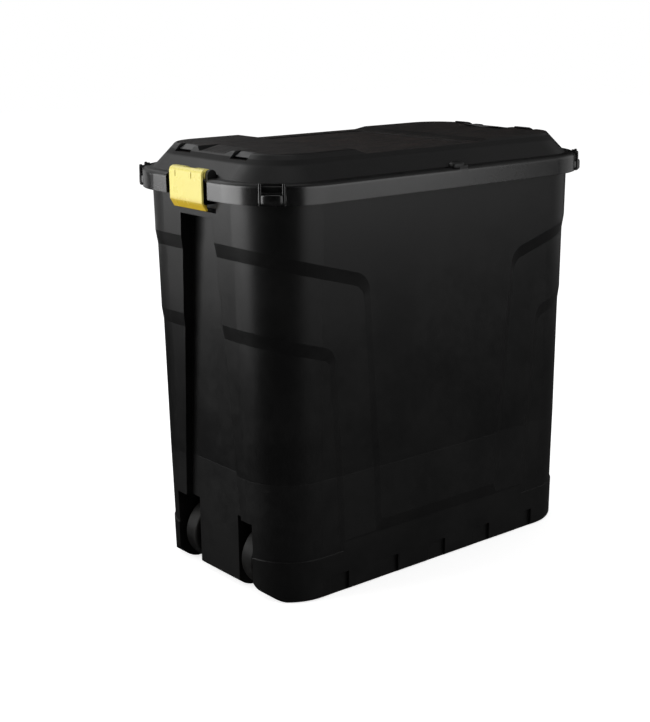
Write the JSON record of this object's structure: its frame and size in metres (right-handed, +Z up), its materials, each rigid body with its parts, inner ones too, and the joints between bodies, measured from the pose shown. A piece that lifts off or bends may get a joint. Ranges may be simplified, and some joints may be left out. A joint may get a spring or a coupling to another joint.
{
  "type": "wheeled deck storage box",
  "caption": "Tall moulded storage box with a lift-off domed lid, snap latches at both ends and a pair of wheels recessed in one bottom edge",
  "frame": {"origin": "middle of the footprint on the ground", "axes": "+X along the box away from the wheels, +Y across it, +Z up"},
  "size_m": [0.718, 0.411, 0.6975],
  "materials": {
    "tub_plastic": "black polypropylene with a fine spark-eroded texture",
    "lid_plastic": "black polypropylene, satin, slightly glossier than the tub",
    "latch_plastic": "bright lemon yellow moulded plastic, satin gloss",
    "axle_steel": "drawn zinc-plated steel rod",
    "wheel_plastic": "black moulded plastic, slightly scuffed tread"
  },
  "bodies": {
    "tub": {"tub": "tub_plastic", "axle": "axle_steel"},
    "lid": {"lid": "lid_plastic"},
    "front_latch": {"front_latch": "latch_plastic"},
    "rear_latch": {"rear_latch": "latch_plastic"},
    "wheel_left": {"wheel_left": "wheel_plastic"},
    "wheel_right": {"wheel_right": "wheel_plastic"}
  },
  "joints": [
    {"name": "lid_lift", "type": "slide", "parent": "tub", "child": "lid", "axis": [0, 0, 1], "range_m": [0, 0.3]},
    {"name": "front_latch_hinge", "type": "hinge", "parent": "lid", "child": "front_latch", "pos_m": [-0.345, 0, 0.6645], "axis": [0, 1, 0], "range_deg": [0, 105]},
    {"name": "rear_latch_hinge", "type": "hinge", "parent": "lid", "child": "rear_latch", "pos_m": [0.345, 0, 0.6645], "axis": [0, -1, 0], "range_deg": [0, 105]},
    {"name": "wheel_left_spin", "type": "hinge", "parent": "tub", "child": "wheel_left", "pos_m": [-0.26975, 0.079, 0.053], "axis": [0, 1, 0], "continuous": true},
    {"name": "wheel_right_spin", "type": "hinge", "parent": "tub", "child": "wheel_right", "pos_m": [-0.26975, -0.079, 0.053], "axis": [0, 1, 0], "continuous": true}
  ]
}
